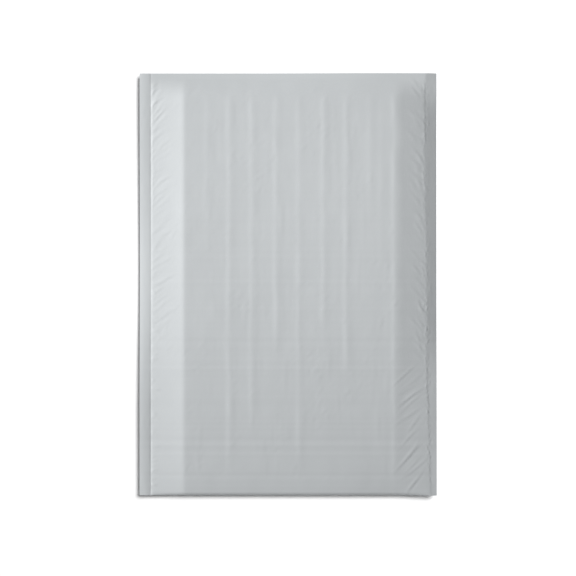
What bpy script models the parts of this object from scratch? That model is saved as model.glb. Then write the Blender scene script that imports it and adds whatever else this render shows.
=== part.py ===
"""A padded postal envelope: a folded web of poly film, welded at both sides, with a bubble film lining.

It lies on its back. +X runs across the width, +Y runs to the mouth and the folded flap, and +Z points up
through the address side. The origin is under the middle of the envelope, on the surface that it lies on.
All lengths are in metres.
"""

import math

import bmesh
import bpy

MM = 0.001

# Outline and film
WIDTH = 241.3 * MM
LENGTH = 342.9 * MM
FILM = 0.1 * MM
SEAM_WIDTH = 9.2 * MM
SEAM_THINNING = 0.6 * MM  # run over which the pocket's edge narrows to two welded films

# Padding: how it swells from the seams and the top strip to its full height
PAD_RISE = 4.55 * MM  # rise of each panel over the seams
POCKET_EDGE = 0.25 * MM  # half height of the pocket at its edges
SIDE_SLOPE = 25.0 * MM
TOP_SLOPE = 14.0 * MM
SHOULDER = 0.15  # rounding at the head of a slope, as a share of its run
TOP_STRIP = 4.5 * MM  # unpadded film under the top fold
BOTTOM_ROLL = 6.0 * MM  # run over which the bottom fold turns

# Flap, folded over the back
FLAP_LENGTH = 45.0 * MM
FLAP_FOLD_RADIUS = 0.7 * MM
MOUTH_SETBACK = 1.5 * MM  # the back panel's edge lies this far under the top fold
FLAP_RAMP = 10.0 * MM  # run over which the back panel lifts on to the flap
FLAP_RAMP_LEAD = 2.0 * MM  # that ramp ends this far before the flap's edge

# Lining
GAP = 0.2 * MM  # clearance between touching pieces
LINING_EDGE = 2.45 * MM  # the lining stops this far inside the seams and the top strip
LINING_SEAL = 5.0 * MM  # width of its own sealed sides
LINING_SLIT = 0.5 * MM  # the empty pocket between its two legs
LINING_FOLD = 12.0 * MM  # solid fold at the bottom, measured from the envelope's edge

# Adhesive strip and its release liner, on the flap's inner face
ADHESIVE = 0.1 * MM
ADHESIVE_WIDTH = 12.0 * MM
ADHESIVE_LENGTH = 228.0 * MM
ADHESIVE_INSET = 8.0 * MM  # from the flap's edge
LINER = 0.1 * MM
LINER_WIDTH = 18.0 * MM
LINER_LENGTH = 234.0 * MM

# Places worked out from the dimensions above
TOP_Y = LENGTH / 2
BOTTOM_Y = -LENGTH / 2
SEAM_X = WIDTH / 2 - SEAM_WIDTH
SEAM_Z = POCKET_EDGE + PAD_RISE  # the side seams lie half way up the padding
PAD_TOP_Y = TOP_Y - TOP_STRIP
ROLL_Y = BOTTOM_Y + BOTTOM_ROLL
MOUTH_Y = TOP_Y - MOUTH_SETBACK
FOLD_Y = TOP_Y - FLAP_FOLD_RADIUS
FLAP_Y = TOP_Y - FLAP_LENGTH
RAMP_TOP_Y = FLAP_Y - FLAP_RAMP_LEAD
RAMP_FOOT_Y = RAMP_TOP_Y - FLAP_RAMP
FLAP_STACK = FILM + GAP + ADHESIVE + GAP + LINER + GAP
LINING_X = SEAM_X - LINING_EDGE
LINING_TOP_Y = PAD_TOP_Y - LINING_EDGE
SLIT_X = LINING_X - LINING_SEAL
SLIT_Y = BOTTOM_Y + LINING_FOLD
ADHESIVE_Y = FLAP_Y + ADHESIVE_INSET
LINER_Y = ADHESIVE_Y - (LINER_WIDTH - ADHESIVE_WIDTH) / 2

TOP_FOLD_STEPS = 4
BOTTOM_FOLD_STEPS = 6


# ---- Form of the filled panels -------------------------------------------------------------------


def slope(distance, run):
    """Rise of a padded slope, 0 at its foot and 1 past its rounded head."""
    u = distance / run
    if u <= 0:
        return 0.0
    if u <= 1 - SHOULDER:
        return u
    if u >= 1 + SHOULDER:
        return 1.0
    return 1 - (1 + SHOULDER - u) ** 2 / (4 * SHOULDER)


def slope_breaks(run):
    """Distances from a slope's foot where its section changes direction."""
    return [run * (1 - SHOULDER), run, run * (1 + SHOULDER)]


def swell(x, y):
    """Share of the padding's full height at a point of the panel."""
    return slope(SEAM_X - abs(x), SIDE_SLOPE) * slope(PAD_TOP_Y - y, TOP_SLOPE)


def half_height(x, y):
    """Half the envelope's thickness, outside to outside, before the flap lifts the back."""
    past_seam = min(max((abs(x) - SEAM_X) / SEAM_THINNING, 0.0), 1.0)
    edge = POCKET_EDGE + (FILM - POCKET_EDGE) * past_seam
    return edge + PAD_RISE * swell(x, y)


def flap_lift(y):
    """Share of the flap's stack that lies under the back panel."""
    return min(max((y - RAMP_FOOT_Y) / FLAP_RAMP, 0.0), 1.0)


def front_z(x, y):
    return SEAM_Z + half_height(x, y)


def back_z(x, y):
    return SEAM_Z - half_height(x, y) + FLAP_STACK * flap_lift(y) * swell(x, y)


def flap_z(x, y):
    return back_z(x, y) - FLAP_STACK


def side_stations(limit):
    """Places across the width where the section changes, as far out as limit."""
    outer = [WIDTH / 2, SEAM_X + SEAM_THINNING, SEAM_X, LINING_X, SLIT_X]
    half = [x for x in outer if x < limit - 1e-9]
    half = [limit] + half + [SEAM_X - d for d in slope_breaks(SIDE_SLOPE)]
    return [-x for x in half] + half[::-1]


def panel_stations(low, high):
    """Places along the length where the section changes, from low to high."""
    marks = [ROLL_Y, RAMP_FOOT_Y, RAMP_TOP_Y, LINING_TOP_Y, PAD_TOP_Y, MOUTH_Y, FOLD_Y]
    marks += [PAD_TOP_Y - d for d in slope_breaks(TOP_SLOPE)]
    marks += [PAD_TOP_Y - TOP_SLOPE / 2]
    return [low] + sorted(y for y in marks if low + 1e-9 < y < high - 1e-9) + [high]


def fold_arc(centre_y, reach, low_z, high_z, steps):
    """Points of a fold from its upper end to its lower end, without those two ends."""
    middle, rise = (low_z + high_z) / 2, (high_z - low_z) / 2
    angles = [math.pi / 2 - math.pi * k / steps for k in range(1, steps)]
    return [(centre_y + reach * math.cos(a), middle + rise * math.sin(a)) for a in angles]


def wrapped_path(x, inset, top_y):
    """The path down the front, round the bottom fold and up the back, inset into the film."""
    ys = panel_stations(ROLL_Y, top_y)
    front = [(y, front_z(x, y) - inset) for y in reversed(ys)]
    back = [(y, back_z(x, y) + inset) for y in ys]
    reach = -(BOTTOM_ROLL - inset)
    return front + fold_arc(ROLL_Y, reach, back[0][1], front[-1][1], BOTTOM_FOLD_STEPS) + back


def flap_path(x, inset):
    """The path along the flap from its edge and round the top fold, inset into the film."""
    ys = [y for y in panel_stations(FLAP_Y, FOLD_Y) if y != MOUTH_Y]
    flap = [(y, flap_z(x, y) + inset) for y in ys]
    head = (FOLD_Y, front_z(x, FOLD_Y) - inset)
    reach = FLAP_FOLD_RADIUS - inset
    fold = fold_arc(FOLD_Y, reach, flap[-1][1], head[1], TOP_FOLD_STEPS)
    return flap + fold[::-1] + [head]


# ---- Mesh building -------------------------------------------------------------------------------


def column(bm, x, points):
    return [bm.verts.new((x, y, z)) for y, z in points]


def skin(bm, left, right):
    """Triangles between two neighbouring columns, all split the same way."""
    for k in range(len(left) - 1):
        bm.faces.new((left[k], right[k], right[k + 1]))
        bm.faces.new((left[k], right[k + 1], left[k + 1]))


def strip_between(bm, upper, lower):
    """Closes the flat outline between two paths that start and end at facing points."""
    for k in range(len(upper) - 1):
        corners = [upper[k], upper[k + 1], lower[k + 1], lower[k]]
        bm.faces.new(list(dict.fromkeys(corners)))


def halves(loop):
    """A folded path as two facing halves, which share the point at the fold."""
    middle = len(loop) // 2
    return loop[: middle + 1], loop[middle:][::-1]


def plastic(name, colour, roughness):
    material = bpy.data.materials.new(name)
    material.use_nodes = True
    shader = material.node_tree.nodes["Principled BSDF"]
    shader.inputs["Base Color"].default_value = (*colour, 1.0)
    shader.inputs["Roughness"].default_value = roughness
    shader.inputs["Metallic"].default_value = 0.0
    return material


def finish_object(name, bm, material, parent):
    bmesh.ops.recalc_face_normals(bm, faces=bm.faces)
    mesh = bpy.data.meshes.new(name)
    bm.to_mesh(mesh)
    bm.free()
    mesh.shade_smooth()
    mesh.set_sharp_from_angle(angle=math.radians(40))
    mesh.materials.append(material)
    part = bpy.data.objects.new(name, mesh)
    bpy.context.collection.objects.link(part)
    part.parent = parent
    return part


# ---- The pieces ----------------------------------------------------------------------------------


def outer_film(parent):
    """One web: flap, top fold, front panel, bottom fold and back panel, welded at both sides."""
    bm = bmesh.new()
    xs = side_stations(WIDTH / 2)
    mouth = len(flap_path(0.0, 0.0))  # the front panel's point level with the back panel's edge
    outside, inside = [], []
    for x in xs:
        outside.append(column(bm, x, flap_path(x, 0.0) + wrapped_path(x, 0.0, MOUTH_Y)))
        points = flap_path(x, FILM) + wrapped_path(x, FILM, MOUTH_Y)
        welded = abs(x) > SEAM_X + 1e-9
        inside.append(column(bm, x, points[: mouth + 1] if welded else points))

    for i in range(len(xs) - 1):
        pocket = len(inside[i]) == len(inside[i + 1]) > mouth + 1
        shared = len(inside[i]) if pocket else mouth + 1
        skin(bm, outside[i], outside[i + 1])
        skin(bm, inside[i][:shared], inside[i + 1][:shared])
        bm.faces.new((outside[i][0], outside[i + 1][0], inside[i + 1][0], inside[i][0]))
        # The back panel's edge at the mouth. In a seam it reaches up to the front panel.
        left, right = ([outside[k][-1], inside[k][-1]] for k in (i, i + 1))
        if not pocket:
            left.append(inside[i][mouth])
            right.append(inside[i + 1][mouth])
        bm.faces.new(list(dict.fromkeys(right + left[::-1])))

    for x, columns in zip(xs, inside):
        if abs(abs(x) - SEAM_X) < 1e-9:
            strip_between(bm, *halves(columns[mouth:]))  # the pocket's side wall

    for end in (0, -1):
        strip_between(bm, outside[end][: mouth + 1], inside[end])
        upper, lower = halves(outside[end][mouth:])
        bm.faces.new((upper[0], upper[1], lower[1], lower[0], inside[end][mouth]))
        strip_between(bm, upper[1:], lower[1:])

    film = plastic("pearl_grey_film", (0.56, 0.585, 0.59), 0.35)
    return finish_object("outer_film", bm, film, parent)


def bubble_lining(parent):
    """One web of bubble film, folded at the bottom, with an empty slit between its legs."""
    bm = bmesh.new()
    xs = side_stations(LINING_X)
    slit_ys = panel_stations(SLIT_Y, LINING_TOP_Y)
    outside, upper, lower = [], [], []
    for x in xs:
        outside.append(column(bm, x, wrapped_path(x, FILM + GAP, LINING_TOP_Y)))
        if abs(x) > SLIT_X + 1e-9:
            upper.append(None)
            lower.append(None)
            continue
        middle = [(y, (front_z(x, y) + back_z(x, y)) / 2) for y in reversed(slit_ys)]
        upper.append(column(bm, x, [(y, z + LINING_SLIT / 2) for y, z in middle]))
        lower.append(column(bm, x, [(y, z - LINING_SLIT / 2) for y, z in middle]))

    for i in range(len(xs) - 1):
        skin(bm, outside[i], outside[i + 1])
        if upper[i] and upper[i + 1]:
            skin(bm, upper[i], upper[i + 1])
            skin(bm, lower[i], lower[i + 1])
            bm.faces.new((upper[i][-1], upper[i + 1][-1], lower[i + 1][-1], lower[i][-1]))
            bm.faces.new((outside[i][0], outside[i + 1][0], upper[i + 1][0], upper[i][0]))
            bm.faces.new((outside[i][-1], outside[i + 1][-1], lower[i + 1][0], lower[i][0]))
            continue
        # Beside the slit, the end wall also takes in the slit's two corners.
        left, right = (
            [outside[k][0]] + ([upper[k][0], lower[k][0]] if upper[k] else []) + [outside[k][-1]]
            for k in (i, i + 1)
        )
        bm.faces.new(right + left[::-1])

    for x, high, low in zip(xs, upper, lower):
        if abs(abs(x) - SLIT_X) < 1e-9:
            strip_between(bm, high, low)
    for end in (0, -1):
        strip_between(bm, *halves(outside[end]))

    lining = plastic("clear_bubble_film", (0.80, 0.83, 0.84), 0.25)
    return finish_object("bubble_lining", bm, lining, parent)


def flap_strip(name, length, width, low_y, standoff, thickness, material, parent):
    """A flat strip that follows the flap's inner face across the envelope."""
    bm = bmesh.new()
    xs = side_stations(length / 2)
    ys = [low_y, low_y + width]
    faces = []
    for level in (standoff, standoff + thickness):
        faces.append([column(bm, x, [(y, flap_z(x, y) + level) for y in ys]) for x in xs])
    under, over = faces
    for i in range(len(xs) - 1):
        skin(bm, under[i], under[i + 1])
        skin(bm, over[i], over[i + 1])
        for k in (0, 1):
            bm.faces.new((under[i][k], under[i + 1][k], over[i + 1][k], over[i][k]))
    for end in (0, -1):
        strip_between(bm, under[end], over[end])
    return finish_object(name, bm, material, parent)


def main():
    for thing in list(bpy.data.objects):
        bpy.data.objects.remove(thing, do_unlink=True)
    envelope = bpy.data.objects.new("padded_envelope", None)
    bpy.context.collection.objects.link(envelope)

    outer_film(envelope)
    bubble_lining(envelope)
    hot_melt = plastic("hot_melt_adhesive", (0.72, 0.68, 0.52), 0.3)
    liner = plastic("silicone_coated_liner", (0.86, 0.87, 0.86), 0.3)
    standoff = FILM + GAP
    flap_strip("adhesive_strip", ADHESIVE_LENGTH, ADHESIVE_WIDTH, ADHESIVE_Y, standoff, ADHESIVE, hot_melt, envelope)
    standoff += ADHESIVE + GAP
    flap_strip("release_liner", LINER_LENGTH, LINER_WIDTH, LINER_Y, standoff, LINER, liner, envelope)


main()
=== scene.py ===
"""A padded envelope of pearl grey poly film, lying on its back with its flap folded under it."""
import math

import bmesh
import bpy
import numpy as np
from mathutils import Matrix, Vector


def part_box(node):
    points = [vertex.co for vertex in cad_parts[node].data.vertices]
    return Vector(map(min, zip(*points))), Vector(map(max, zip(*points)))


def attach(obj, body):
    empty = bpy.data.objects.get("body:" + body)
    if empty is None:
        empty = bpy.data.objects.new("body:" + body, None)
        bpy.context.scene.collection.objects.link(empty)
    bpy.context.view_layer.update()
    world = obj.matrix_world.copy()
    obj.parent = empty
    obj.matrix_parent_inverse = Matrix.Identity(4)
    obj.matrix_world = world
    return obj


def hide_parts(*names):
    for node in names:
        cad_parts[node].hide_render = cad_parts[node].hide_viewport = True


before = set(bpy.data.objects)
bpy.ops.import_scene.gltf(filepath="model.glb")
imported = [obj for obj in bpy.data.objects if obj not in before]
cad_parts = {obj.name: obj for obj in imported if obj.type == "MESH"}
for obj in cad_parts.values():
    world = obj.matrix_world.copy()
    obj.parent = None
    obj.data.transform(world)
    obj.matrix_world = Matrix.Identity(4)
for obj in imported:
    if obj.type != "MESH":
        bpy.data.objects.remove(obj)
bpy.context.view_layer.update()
mm = 0.001

# ---- Outer film: the web and how it lies ---------------------------------------------------------
# One web of pearl grey polyethylene film, folded at the bottom, welded down both sides and folded
# over the back at the top as the flap. The bubble lining swells it between the welds.

film_low, film_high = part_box("outer_film")
half_width = (film_high.x - film_low.x) / 2
half_length = (film_high.y - film_low.y) / 2
film_height = film_high.z - film_low.z

film_thickness = 0.1 * mm
left_seam_x = -111.4 * mm
left_crease_x = -84.5 * mm
right_crease_x = 89.6 * mm
seam_z = film_height / 2
right_seam_lift = 1.7 * mm
pad_top_z = film_height - 0.35 * mm
pad_top_y = half_length - 4.3 * mm
top_slope_run = 18 * mm
mouth_y = half_length - 1.5 * mm
top_fold_radius = 0.7 * mm
top_fold_y = half_length - top_fold_radius
bottom_roll = 3 * mm
bottom_taper = 32 * mm
roll_y = -half_length + bottom_roll
flap_end_y = half_length - 45 * mm
flap_stack = 0.9 * mm
pocket_x = 111.45 * mm


def ease(t):
    """A smooth step from 0 to 1."""
    t = np.clip(t, 0, 1)
    return t * t * (3 - 2 * t)


def shoulder(u, rounding):
    """A straight slope up to 1, with a rounded head of that share of its run on either side."""
    head = 1 - (1 + rounding - u) ** 2 / (4 * rounding)
    return np.where(u < 1 - rounding, np.maximum(u, 0), np.where(u > 1 + rounding, 1, head))


def noise(x, y, cell_x, cell_y, seed):
    """Smooth random values from -1 to 1, with one value for each cell of that size."""
    table = np.random.default_rng(seed).uniform(-1, 1, (256, 256))
    u, v = x / cell_x + 128.5, y / cell_y + 128.5
    i, j = np.floor(u).astype(int), np.floor(v).astype(int)
    a, b = ease(u - i), ease(v - j)
    low = table[i % 256, j % 256] * (1 - a) + table[(i + 1) % 256, j % 256] * a
    high = table[i % 256, (j + 1) % 256] * (1 - a) + table[(i + 1) % 256, (j + 1) % 256] * a
    return low * (1 - b) + high * b


def right_seam_x(y):
    """The right weld's inner edge, which wanders outwards down the envelope."""
    drift = 111.0 + 2.2 * ease((120 * mm - y) / (150 * mm)) + 2.6 * ease((-60 * mm - y) / (110 * mm))
    drift = drift + 0.8 * ease((y - 125 * mm) / (20 * mm))
    return (drift + 0.35 * noise(y, 0 * y, 5 * mm, 1, 3) + 0.3 * noise(y, 0 * y, 14 * mm, 1, 4)) * mm


def weld_plane(x, y):
    """Height of the two welded side flanges, and of the level they share under the padding."""
    outward = np.clip((left_seam_x - x) / (half_width + left_seam_x), 0, 1)
    droop = np.exp(-(((y - 12 * mm) / (62 * mm)) ** 2)) - 0.28 * np.exp(-(((y + 108 * mm) / (32 * mm)) ** 2))
    sunk = 0.8 * mm * np.exp(-(((y - 38 * mm) / (92 * mm)) ** 4)) * ease((20 * mm - x) / (90 * mm))
    left = 0.9 * mm * outward * (1 - outward) - 1.1 * mm * outward * droop
    seam_x = right_seam_x(y)
    steep = 0.02 + 0.07 * ease((y + 150 * mm) / (40 * mm)) + 0.145 * ease((y + 85 * mm) / (60 * mm))
    steep = steep * (1 - 0.5 * ease((y - 132 * mm) / (30 * mm)))
    lift = (right_seam_lift + 0.8 * mm * ease(-y / (120 * mm))) * ease((x + 40 * mm) / (120 * mm))
    return seam_z + lift - sunk + left - np.maximum(x - seam_x, 0) * steep


def toward_bottom(y):
    """From 0 to 1 over the stretch where the padding thins out towards the bottom fold."""
    return np.clip((roll_y + bottom_taper - y) / bottom_taper, 0, 1)


def seam_groove(x, y):
    """How far the film is pressed in along the left weld."""
    return 0.09 * mm * np.exp(-(((x - left_seam_x) / (0.6 * mm)) ** 2))


def side_swell(x, y):
    """Share of the padding's height between the two seams."""
    u = (x - left_seam_x) / (left_crease_x - left_seam_x)
    left = shoulder(u, 0.09) * (1 - 0.12 * (1 - np.clip(u, 0, 1) ** 2))
    right_run = right_seam_x(y) - right_crease_x
    right = shoulder((right_seam_x(y) - x) / right_run, 0.16)
    return left * right


def top_swell(y):
    u = np.clip((pad_top_y - y) / top_slope_run, 0, 1)
    return 0.55 * np.sin(np.pi / 2 * u) + 0.45 * ease(u)


def front_form(x, y):
    """The front panel's outer surface, without its wrinkles."""
    foot = weld_plane(x, y) + film_thickness
    sag = 1.1 * mm * ease((-20 * mm - y) / (150 * mm)) + 0.3 * mm * toward_bottom(y) + 0.5 * mm * toward_bottom(y) ** 6
    ragged = 1 + 0.7 * noise(y, 0 * y, 3.2 * mm, 1, 5)
    left_start = 0.1 * mm * ragged * (1 - np.exp(-np.maximum(x - left_seam_x, 0) / (0.6 * mm)))
    uneven = 0.3 + 0.35 * ease((-y - 20 * mm) / (60 * mm)) + 0.55 * ease((y - 118 * mm) / (20 * mm))
    uneven = uneven * (1 + 0.5 * noise(y, 0 * y, 2.4 * mm, 1, 6))
    right_start = 0.24 * mm * uneven * (1 - np.exp(-np.maximum(right_seam_x(y) - x, 0) / (0.8 * mm)))
    start = (left_start + right_start) * top_swell(y)
    return foot + start - seam_groove(x, y) + (pad_top_z - sag - foot) * side_swell(x, y) * top_swell(y)


def back_rest(y):
    """Height of the back panel's flat part, which lifts on to the folded flap and at the bottom fold."""
    return flap_stack * ease((y - (flap_end_y - 12 * mm)) / (10 * mm)) + 1.3 * mm * toward_bottom(y) ** 3


def back_form(x, y):
    """The back panel's outer surface, pressed flat on what the envelope lies on."""
    foot = weld_plane(x, y) - film_thickness
    run = 25 * mm
    left = shoulder((x - left_seam_x) / run, 0.25)
    right = shoulder((right_seam_x(y) - x) / run, 0.25)
    return foot - (foot - back_rest(y)) * left * right * top_swell(y)


def flap_form(x, y):
    """The flap's outer surface, under the back panel."""
    return back_form(x, y) - flap_stack


# ---- Outer film: its ridges and wrinkles ---------------------------------------------------------
# The film was heat sealed a little full, so it puckers at both welds. Over the padding it shows
# long ridges, two rows of bubbles apart, and a slight slack.


def spaced(marks):
    """Places from the first mark to the last, each stretch cut to about its own spacing."""
    places = [marks[0][0]]
    for (start, step), (end, _) in zip(marks, marks[1:]):
        count = max(1, round(abs(end - start) / step))
        places += [start + (end - start) * (k + 1) / count for k in range(count)]
    return np.array(places) * mm


edge = half_width / mm
columns = spaced([(-edge, 1.1), (-113.4, 0.45), (-109, 0.8), (-82, 1.45), (84, 1.0), (108.5, 0.6), (117.5, 1.0), (edge, 1)])
front_rows = spaced([(roll_y / mm, 1.2), (mouth_y / mm, 0.8), (top_fold_y / mm, 1)])
front_x, front_y = np.meshgrid(columns, front_rows)
wrinkles = np.zeros_like(front_x)
draw = np.random.default_rng(11)


def crease(x, y, angle, length, width, height, bow=0.0, shadow=0.5):
    """Raises one crease, centred at a point, with a shallow valley along its lower side."""
    c, s = math.cos(math.radians(angle)), math.sin(math.radians(angle))
    reach_x = abs(c) * length / 2 + 4 * width
    reach_y = abs(s) * length / 2 + 4 * width
    i0, i1 = np.searchsorted(columns, [x - reach_x, x + reach_x])
    j0, j1 = np.searchsorted(front_rows, [y - reach_y, y + reach_y])
    if i1 <= i0 or j1 <= j0:
        return
    dx, dy = front_x[j0:j1, i0:i1] - x, front_y[j0:j1, i0:i1] - y
    along = (dx * c + dy * s) / (length / 2)
    across = (dy * c - dx * s) - bow * (1 - along**2)
    taper = np.clip(1 - along**2, 0, 1) ** 1.5
    ridge = np.exp(-((across / width) ** 2)) - shadow * np.exp(-(((across + 1.7 * width) / (1.2 * width)) ** 2))
    wrinkles[j0:j1, i0:i1] += height * taper * ridge


# Ridges over the rows of bubbles: place, where each fades out, and how strong it is.
for ridge_x, foot_y, strength in (
    (-65.5, 30, 0.55),
    (-47.5, -150, 1.15),
    (-29.3, -110, 1.0),
    (-9.6, -55, 1.1),
    (9.0, -150, 0.8),
    (28.6, -45, 1.1),
    (47.2, -70, 1.0),
    (66.5, 60, 0.6),
    (75.5, 20, 0.45),
    (86.0, -165, 0.8),
):
    wander = 0.5 * mm * noise(front_y, 0 * front_y, 28 * mm, 1, int(ridge_x + 200))
    wander = wander + 0.45 * mm * noise(front_y, 0 * front_y, 6.5 * mm, 1, int(ridge_x + 400))
    off = front_x - ridge_x * mm - wander
    fade = ease((front_y - (foot_y - 15) * mm) / (40 * mm)) * ease((158 * mm - front_y) / (14 * mm))
    fade = fade * (0.85 + 0.45 * noise(front_y, 0 * front_y, 15 * mm, 1, int(ridge_x + 300)))
    face = np.where(off < 0, np.exp(-((off / (1.9 * mm)) ** 2)), np.exp(-((off / (4.2 * mm)) ** 2)))
    wrinkles += 0.17 * mm * strength * fade * face


# Slanting wrinkles on the left slope, which run up from the weld towards the crease. They are short
# and steep near the top, and longer, flatter and weaker further down.
y = 167.0
while y > -45:
    high = float(ease((y - 110) / 30))
    steep = 34 + 10 * high + 5 * draw.normal()
    length = draw.uniform(11, 24) - 5 * high
    x = left_seam_x / mm + 0.5 + length / 2 * math.cos(math.radians(steep)) * draw.uniform(0.9, 1.3)
    strength = (0.12 + 0.09 * high) * draw.uniform(0.4, 1.15) * (0.5 + 0.5 * float(ease((y + 40) / 60)))
    crease(x * mm, y * mm, steep, length * mm, draw.uniform(0.85, 1.35) * mm, strength * mm, bow=0.7 * mm, shadow=0.6)
    y -= draw.uniform(2.6, 5.6)
for _ in range(110):
    y = draw.uniform(-60, 166)
    steep = 36 + 10 * draw.normal()
    length = draw.uniform(4, 11)
    x = draw.uniform(left_seam_x / mm + 2, left_crease_x / mm - 5)
    crease(x * mm, y * mm, steep, length * mm, draw.uniform(0.6, 1.0) * mm, 0.055 * mm * draw.uniform(0.3, 1), bow=0.4 * mm)

# Short puckers square to the left weld, in clusters down its lower half and finer near the top.
for _ in range(150):
    y = draw.choice([20, -10, -35, -60, -85, -110, -130, -150, -160]) + draw.normal() * 7
    length = draw.uniform(3, 10)
    x = left_seam_x / mm + length * draw.uniform(0.38, 0.55)
    crease(x * mm, y * mm, draw.normal() * 9 - 4, length * mm, draw.uniform(0.5, 0.85) * mm,
           0.15 * mm * draw.uniform(0.3, 1.0))
for _ in range(90):
    y = draw.uniform(60, 164)
    length = draw.uniform(3, 8)
    x = left_seam_x / mm + length * 0.4
    crease(x * mm, y * mm, 38 + 8 * draw.normal(), length * mm, draw.uniform(0.45, 0.7) * mm,
           0.1 * mm * draw.uniform(0.4, 1))

# The right slope's wrinkles lean the other way.
for _ in range(75):
    y = draw.uniform(-60, 165)
    length = draw.uniform(6, 18)
    steep = 132 + 9 * draw.normal()
    x = right_seam_x(np.array(y * mm)) / mm - length / 2 * 0.75 * draw.uniform(0.8, 1.9)
    crease(x * mm, y * mm, steep, length * mm, draw.uniform(0.75, 1.3) * mm, 0.13 * mm * draw.uniform(0.3, 1),
           bow=-0.5 * mm)

# Crinkles along the right weld, where the film was caught in the seal.
for _ in range(420):
    y = draw.uniform(-168, 166)
    x = right_seam_x(np.array(y * mm)) / mm + draw.normal() * 1.0 - 0.3
    crease(x * mm, y * mm, draw.choice([35, 80, 120, 150]) + 14 * draw.normal(), draw.uniform(1.5, 5) * mm,
           draw.uniform(0.4, 0.65) * mm, 0.15 * mm * draw.uniform(-0.4, 1))

# Long creases fanning out of the lower right corner.
for k in range(18):
    y = -162 + 5.2 * k + draw.normal() * 2
    length = draw.uniform(16, 40)
    x = 104 - 0.12 * k - draw.uniform(0, 9)
    crease(x * mm, y * mm, 47 - 0.7 * k + 5 * draw.normal(), length * mm, draw.uniform(0.8, 1.2) * mm,
           0.17 * mm * draw.uniform(0.4, 1), bow=draw.uniform(-1.5, 1.5) * mm)

# The slack over the middle of the padding: small leaning ripples in patches, and faint long ones.
for _ in range(1500):
    x, y = draw.uniform(-84, 88), draw.uniform(-162, 160)
    patch = np.clip(0.35 + 1.1 * float(noise(np.array(x), np.array(y), 17, 24, 21)), 0.12, 1.2)
    crease(x * mm, y * mm, 56 + 17 * draw.normal(), draw.uniform(3, 9) * mm, draw.uniform(0.75, 1.4) * mm,
           0.075 * mm * patch * draw.uniform(0.2, 1) * draw.choice([1, 1, -0.7]))
for _ in range(160):
    x, y = draw.uniform(-80, 84), draw.uniform(-150, 140)
    crease(x * mm, y * mm, 90 + 2.5 * draw.normal(), draw.uniform(10, 45) * mm, draw.uniform(0.8, 1.5) * mm,
           0.045 * mm * draw.uniform(0.2, 1))

wrinkles += 0.05 * mm * noise(front_x, front_y, 9 * mm, 14 * mm, 31) * side_swell(front_x, front_y)
wrinkles += 0.12 * mm * noise(front_x, front_y, 34 * mm, 48 * mm, 32) * side_swell(front_x, front_y)
flange = 1 - ease(side_swell(front_x, front_y) * 14)
wrinkles += 0.03 * mm * noise(front_x, front_y, 2.2 * mm, 9 * mm, 33) * flange
wrinkles *= ease((top_fold_y - front_y) / (9 * mm))

# ---- Outer film: the closed skin -----------------------------------------------------------------
# The outside runs from the mouth down the back, round the bottom fold, up the front, over the top
# fold and down the flap. The inside follows it at a coarser step, where the lining hides it.


def fold(start, end, reach, steps):
    """Rows round a fold, from one panel's last row to the next panel's first, without those two."""
    rows = []
    for k in range(1, steps):
        angle = math.pi * k / steps
        row = (start + end) / 2 + (start - end) / 2 * math.cos(angle)
        row[:, 1] = start[:, 1] + reach * math.sin(angle)
        rows.append(row)
    return rows


def panel(xs, ys, heights):
    """Rows of points, one row for each y."""
    return [np.stack([xs, np.full_like(xs, y), z], axis=1) for y, z in zip(ys, heights)]


outer_points, outer_faces = [], []


def add_rows(rows):
    first = len(outer_points)
    count = len(rows[0])
    outer_points.extend(np.concatenate(rows))
    return np.arange(first, first + len(rows) * count).reshape(len(rows), count)


def add_skin(index):
    """Quads over a grid of point numbers."""
    a, b, c, d = index[:-1, :-1], index[:-1, 1:], index[1:, 1:], index[1:, :-1]
    outer_faces.extend(np.stack([a, b, c, d], axis=-1).reshape(-1, 4).tolist())


def zip_chains(one, other):
    """Triangles between two chains of points that run side by side, whatever their counts."""

    def marks(chain):
        points = np.array([outer_points[i] for i in chain])
        steps = np.linalg.norm(np.diff(points, axis=0), axis=1)
        return np.concatenate([[0], np.cumsum(steps)]) / steps.sum()

    t, u = marks(one), marks(other)
    i = j = 0
    while i < len(one) - 1 or j < len(other) - 1:
        if j == len(other) - 1 or (i < len(one) - 1 and t[i + 1] <= u[j + 1]):
            face, i = (one[i], one[i + 1], other[j]), i + 1
        else:
            face, j = (one[i], other[j + 1], other[j]), j + 1
        if len(set(face)) == 3:
            outer_faces.append([int(n) for n in face])


front_heights = front_form(front_x, front_y) + wrinkles

back_rows = spaced([(mouth_y / mm, 0.9), (pad_top_y / mm - 8, 3.4), (roll_y / mm, 1)])
back_x, back_y = np.meshgrid(columns, back_rows)
front_at_back = np.stack([np.interp(back_rows, front_rows, front_heights[:, c]) for c in range(len(columns))], axis=1)
seam_blend = ease(np.maximum(left_seam_x - back_x, back_x - right_seam_x(back_y)) / (1.2 * mm) + 1)
padded_back = back_form(back_x, back_y) + 0.05 * mm * noise(back_x, back_y, 12 * mm, 18 * mm, 41) * (1 - seam_blend)
back_heights = padded_back * (1 - seam_blend) + (front_at_back - 2 * film_thickness) * seam_blend
back_heights = np.maximum(back_heights, 0.02 * mm)

flap_rows = spaced([(top_fold_y / mm, 0.8), (pad_top_y / mm, 2.5), (flap_end_y / mm, 1)])
flap_x, flap_y = np.meshgrid(columns, flap_rows)
back_over_flap = np.stack([np.interp(flap_rows[::-1], back_rows[::-1], back_heights[::-1, c])[::-1] for c in range(len(columns))], axis=1)
flap_heights = np.maximum(back_over_flap - flap_stack, 0.0)

back = panel(columns, back_rows, back_heights)
front = panel(columns, front_rows, front_heights)
flap = panel(columns, flap_rows, flap_heights)
bottom = fold(back[-1], front[0], -bottom_roll, 12)
top = fold(front[-1], flap[0], top_fold_radius, 8)
outside = add_rows(back + bottom + front + top + flap)
add_skin(outside)

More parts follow.
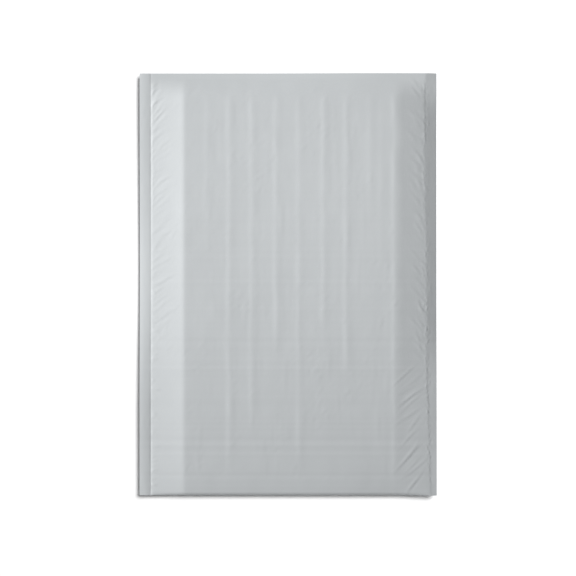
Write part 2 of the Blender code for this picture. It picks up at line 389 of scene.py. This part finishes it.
inner_columns = spaced([(-edge, 3), (-pocket_x / mm, 3), (-80, 8), (80, 3), (pocket_x / mm, 3), (edge, 1)])
pocket = np.flatnonzero(np.abs(inner_columns) <= pocket_x + 1e-9)
inner_front_rows = spaced([(roll_y / mm, 6), (pad_top_y / mm - 20, 2.5), (mouth_y / mm, 1), (top_fold_y / mm, 1)])
at_mouth = int(np.argmin(np.abs(inner_front_rows - mouth_y)))
inner_back_rows = inner_front_rows[: at_mouth + 1][::-1]


def inner_panel(xs, ys, outer_form, side):
    """Rows just inside a panel: one film thickness in where it is bare, further where padding hides it."""
    x, y = np.meshgrid(xs, ys)
    depth = film_thickness + 0.25 * mm * side_swell(x, y) * top_swell(y)
    return panel(xs, ys, outer_form(x, y) + side * depth)


def sampled(grid_x, grid_y, heights):
    """A panel's finished surface as a function of place."""

    def form(x, y):
        across = np.stack([np.interp(x[0], grid_x, row) for row in heights])
        order = np.argsort(grid_y)
        return np.stack([np.interp(y[:, 0], grid_y[order], across[order, c]) for c in range(x.shape[1])], axis=1)

    return form


inner_back = inner_panel(inner_columns, inner_back_rows, sampled(columns, back_rows, back_heights), 1)
inner_front = inner_panel(inner_columns, inner_front_rows, sampled(columns, front_rows, front_heights), -1)
inner_flap = panel(inner_columns, flap_rows, sampled(columns, flap_rows, flap_heights)(*np.meshgrid(inner_columns, flap_rows)) + film_thickness)
inner_bottom = fold(inner_back[-1], inner_front[0], film_thickness - bottom_roll, 6)
inner_top = fold(inner_front[-1], inner_flap[0], top_fold_radius - film_thickness, 8)
inside = add_rows(inner_back + inner_bottom + inner_front + inner_top + inner_flap)
mouth_row = len(inner_back) + len(inner_bottom) + at_mouth
add_skin(inside[mouth_row:])
add_skin(inside[: mouth_row + 1, pocket])

zip_chains(outside[-1], inside[-1])
left_end, right_end = pocket[0], pocket[-1]
zip_chains(outside[0], [*inside[mouth_row, : left_end + 1], *inside[0, pocket], *inside[mouth_row, right_end:]])
inner_turn = len(inner_back) + len(inner_bottom) // 2
for column in (left_end, right_end):
    zip_chains(inside[inner_turn : mouth_row + 1, column], inside[inner_turn::-1, column])
outer_turn = len(back) + len(bottom) // 2
for column in (0, -1):
    zip_chains(outside[outer_turn:, column], [*outside[outer_turn::-1, column], *inside[mouth_row:, column]])


def film_object(name, points, faces):
    """A mesh object of these points and faces, with its faces turned outwards."""
    mesh = bpy.data.meshes.new(name)
    mesh.from_pydata([tuple(p) for p in points], [], faces)
    shell = bmesh.new()
    shell.from_mesh(mesh)
    used = [v for v in shell.verts if not v.link_faces]
    bmesh.ops.delete(shell, geom=used, context="VERTS")
    bmesh.ops.recalc_face_normals(shell, faces=shell.faces)
    shell.to_mesh(mesh)
    shell.free()
    made = bpy.data.objects.new(name, mesh)
    bpy.context.collection.objects.link(made)
    mesh.shade_smooth()
    return made


outer_film = film_object("film_web", outer_points, outer_faces)
outer_film.data.set_sharp_from_angle(angle=math.radians(50))


def principled(name):
    """A new material: its node tree and its Principled shader."""
    material = bpy.data.materials.new(name)
    material.use_nodes = True
    return material, material.node_tree, material.node_tree.nodes["Principled BSDF"]


film_material, tree, shader = principled("pearl_film")
shader.inputs["Roughness"].default_value = 0.5
shader.inputs["Specular IOR Level"].default_value = 0.25
place = tree.nodes.new("ShaderNodeTexCoord")
cloud = tree.nodes.new("ShaderNodeTexNoise")
cloud.inputs["Scale"].default_value = 60
cloud.inputs["Detail"].default_value = 4
tint = tree.nodes.new("ShaderNodeMixRGB")
tint.inputs["Color1"].default_value = (0.505, 0.526, 0.536, 1)
tint.inputs["Color2"].default_value = (0.525, 0.546, 0.556, 1)
grain = tree.nodes.new("ShaderNodeTexNoise")
grain.inputs["Scale"].default_value = 900
grain.inputs["Detail"].default_value = 3
bump = tree.nodes.new("ShaderNodeBump")
bump.inputs["Strength"].default_value = 0.15
bump.inputs["Distance"].default_value = 0.0002
link = tree.links.new
link(place.outputs["Object"], cloud.inputs["Vector"])
link(place.outputs["Object"], grain.inputs["Vector"])
link(cloud.outputs["Fac"], tint.inputs["Fac"])
link(tint.outputs["Color"], shader.inputs["Base Color"])
link(grain.outputs["Fac"], bump.inputs["Height"])
link(bump.outputs["Normal"], shader.inputs["Normal"])
outer_film.data.materials.append(film_material)

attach(outer_film, "root")
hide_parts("outer_film")

# ---- Bubble lining -------------------------------------------------------------------------------
# A web of bubble film inside the outer film, folded at the bottom with its bubbles facing in. The
# two panels meet bubble to bubble, and each bubble is pressed to half of the room between them.

lining_half_width = 109.3 * mm
lining_mouth_y = pad_top_y - 3 * mm
lining_film = 0.1 * mm
bubble_radius = 4.6 * mm
bubble_pitch = 10.7 * mm
bubble_row_step = bubble_pitch * math.sqrt(3) / 2
bubble_sides = 8

lining_columns = spaced([(-lining_half_width / mm, 3), (-80, 6), (80, 3), (lining_half_width / mm, 1)])
lining_rows = spaced([(roll_y / mm, 6), (pad_top_y / mm - 20, 2.5), (lining_mouth_y / mm, 1)])


def room_inside(x, y):
    """How far the lining's outer face lies under the outer face of the film."""
    return film_thickness + 0.08 * mm + 0.42 * mm * side_swell(x, y) * top_swell(y)


front_surface = sampled(columns, front_rows, front_heights)
back_surface = sampled(columns, back_rows, back_heights)
lining_x, lining_y = np.meshgrid(lining_columns, lining_rows)
room = room_inside(lining_x, lining_y)
lining_front = front_surface(lining_x, lining_y) - room
lining_back = back_surface(lining_x, lining_y) + room


def lining_web(thickness_in, fold_reach):
    """Rows of the whole web, from the back panel's mouth round the fold to the front panel's mouth."""
    down = panel(lining_columns, lining_rows[::-1], (lining_back + thickness_in)[::-1])
    up = panel(lining_columns, lining_rows, lining_front - thickness_in)
    return np.array(down + fold(down[-1], up[0], -fold_reach, 8) + up)


web_outside = lining_web(0, bottom_roll - 0.4 * mm)
web_inside = lining_web(lining_film, bottom_roll - 0.4 * mm - lining_film)
row_count, column_count = web_outside.shape[:2]
lining_points = [tuple(p) for p in np.concatenate([web_outside, web_inside]).reshape(-1, 3)]
numbers = np.arange(2 * row_count * column_count).reshape(2, row_count, column_count)


def grid_quads(index):
    a, b, c, d = index[:-1, :-1], index[:-1, 1:], index[1:, 1:], index[1:, :-1]
    return np.stack([a, b, c, d], axis=-1).reshape(-1, 4).tolist()


lining_faces = grid_quads(numbers[0]) + grid_quads(numbers[1])
for side in (numbers[:, 0], numbers[:, -1], numbers[:, :, 0], numbers[:, :, -1]):
    lining_faces += grid_quads(side)

dome_rings = ((1.0, 0.0), (0.9, 0.62), (0.52, 0.95))
bubble_rows = np.arange(-11, 12) * bubble_row_step - 0.9 * mm
for row, x in enumerate(bubble_rows):
    for y in np.arange(roll_y + 7 * mm, lining_mouth_y - 6 * mm, bubble_pitch) + row % 2 * bubble_pitch / 2:
        if y > lining_mouth_y - 6 * mm:
            continue
        turn = np.arange(bubble_sides) * 2 * math.pi / bubble_sides
        ring_x, ring_y = x + bubble_radius * np.cos(turn), y + bubble_radius * np.sin(turn)
        spot_x, spot_y = np.append(ring_x, x), np.append(ring_y, y)
        depth = room_inside(spot_x, spot_y) + lining_film
        top = np.array([front_surface(u.reshape(1, 1), v.reshape(1, 1))[0, 0] for u, v in zip(spot_x, spot_y)]) - depth
        low = np.array([back_surface(u.reshape(1, 1), v.reshape(1, 1))[0, 0] for u, v in zip(spot_x, spot_y)]) + depth
        middle = (top + low) / 2
        if (top - low).min() < 1.2 * mm:
            continue
        for wall, way in ((top, -1), (low, 1)):
            height = np.abs(middle - wall) - 0.12 * mm
            first = len(lining_points)
            for share, rise in dome_rings:
                for k in range(bubble_sides):
                    z = wall[k] * share + wall[-1] * (1 - share)
                    z += way * rise * (height[k] * share + height[-1] * (1 - share))
                    lining_points.append((x + (ring_x[k] - x) * share, y + (ring_y[k] - y) * share, z - way * 0.03 * mm * (rise == 0)))
            lining_points.append((x, y, wall[-1] + way * height[-1]))
            for ring in range(len(dome_rings) - 1):
                for k in range(bubble_sides):
                    near, far = first + ring * bubble_sides, first + (ring + 1) * bubble_sides
                    following = (k + 1) % bubble_sides
                    lining_faces.append([near + k, near + following, far + following, far + k])
            last_ring = first + (len(dome_rings) - 1) * bubble_sides
            peak = last_ring + bubble_sides
            lining_faces += [[last_ring + k, last_ring + (k + 1) % bubble_sides, peak] for k in range(bubble_sides)]
            lining_faces.append([first + k for k in range(bubble_sides)])

lining = film_object("bubble_web", lining_points, lining_faces)
lining.data.set_sharp_from_angle(angle=math.radians(50))
bubble_material, tree, shader = principled("bubble_film")
shader.inputs["Base Color"].default_value = (0.72, 0.77, 0.79, 1)
shader.inputs["Roughness"].default_value = 0.22
shader.inputs["Coat Weight"].default_value = 0.2
lining.data.materials.append(bubble_material)

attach(lining, "root")
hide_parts("bubble_lining")

# ---- Adhesive strip and its release liner --------------------------------------------------------
# A band of tacky hot-melt glue on the flap's inner face, under the paper-thin liner that is peeled
# off to close the envelope. Both lie between the folded flap and the back panel.

flap_surface = sampled(columns, flap_rows, flap_heights)


def ribbon(name, half_length_x, low_y, high_y, low_gap, thickness):
    """A thin closed band on the flap's inner face."""
    xs = spaced([(-half_length_x / mm, 2), (-95, 10), (95, 2), (half_length_x / mm, 1)])
    ys = spaced([(low_y / mm, 3), (high_y / mm, 1)])
    under = flap_surface(*np.meshgrid(xs, ys)) + film_thickness + low_gap
    layers = np.array([panel(xs, ys, under), panel(xs, ys, under + thickness)])
    index = np.arange(2 * len(ys) * len(xs)).reshape(2, len(ys), len(xs))
    faces = grid_quads(index[0]) + grid_quads(index[1])
    for side in (index[:, 0], index[:, -1], index[:, :, 0], index[:, :, -1]):
        faces += grid_quads(side)
    return film_object(name, layers.reshape(-1, 3), faces)


glue_low_y = flap_end_y + 8 * mm
glue = ribbon("glue_band", 114 * mm, glue_low_y, glue_low_y + 12 * mm, 0.02 * mm, 0.1 * mm)
glue_material, tree, shader = principled("hot_melt")
shader.inputs["Base Color"].default_value = (0.62, 0.60, 0.50, 1)
shader.inputs["Roughness"].default_value = 0.3
glue.data.materials.append(glue_material)
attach(glue, "root")
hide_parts("adhesive_strip")

liner = ribbon("peel_liner", 117 * mm, glue_low_y - 3 * mm, glue_low_y + 15 * mm, 0.15 * mm, 0.1 * mm)
liner_material, tree, shader = principled("liner_film")
shader.inputs["Base Color"].default_value = (0.75, 0.77, 0.78, 1)
shader.inputs["Roughness"].default_value = 0.35
liner.data.materials.append(liner_material)
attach(liner, "root")
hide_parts("release_liner")

# ---- Studio --------------------------------------------------------------------------------------
# A white floor and soft light from everywhere. A lamp low on the left lights the envelope, and one
# above it to the right lights only the floor, so the contact shadow falls to the left and below.

camera = bpy.data.objects.new("camera", bpy.data.cameras.new("camera"))
bpy.context.collection.objects.link(camera)
bpy.context.scene.camera = camera
camera.data.lens = 85
camera.data.sensor_width = 36
frame_width = 468.1 * mm
camera_height = frame_width / camera.data.sensor_width * camera.data.lens
camera.location = (0, -3.05 * mm, seam_z + camera_height)
camera.rotation_euler = (0, 0, 0)
camera.data.clip_start = 0.01
camera.data.clip_end = 50

bpy.ops.object.select_all(action="DESELECT")
bpy.ops.mesh.primitive_plane_add(size=12)
floor = bpy.context.active_object
floor.name = "floor"
floor_material, tree, shader = principled("white_floor")
shader.inputs["Base Color"].default_value = (0.8, 0.8, 0.8, 1)
shader.inputs["Roughness"].default_value = 0.9
shader.inputs["Specular IOR Level"].default_value = 0.1
floor.data.materials.append(floor_material)


def soft_lamp(name, direction, distance, size, power, floor_only):
    """A square area lamp that looks at the envelope from that direction."""
    lamp = bpy.data.lights.new(name, "AREA")
    lamp.size = size
    lamp.energy = power
    stand = bpy.data.objects.new(name, lamp)
    bpy.context.collection.objects.link(stand)
    away = np.array(direction) / np.linalg.norm(direction)
    stand.location = away * distance
    stand.rotation_euler = stand.location.to_track_quat("Z", "Y").to_euler()
    stand.visible_camera = False
    lit = bpy.data.collections.new(name + "_lights")
    lit.objects.link(floor)
    lit.collection_objects[0].light_linking.link_state = "INCLUDE" if floor_only else "EXCLUDE"
    stand.light_linking.receiver_collection = lit


soft_lamp("low_left", (-1.0, 0.15, 0.38), 2.6, 0.9, 104, False)
soft_lamp("overhead", (0.03, 0.12, 0.40), 0.42, 0.25, 0.6, False)
soft_lamp("high_right", (0.5, 0.5, 1.0), 3.0, 1.9, 165, True)

world = bpy.data.worlds.new("world")
bpy.context.scene.world = world
world.use_nodes = True
world.node_tree.nodes["Background"].inputs["Color"].default_value = (0.98, 0.99, 1.0, 1)
world.node_tree.nodes["Background"].inputs["Strength"].default_value = 0.2
bpy.context.scene.view_settings.view_transform = "Standard"
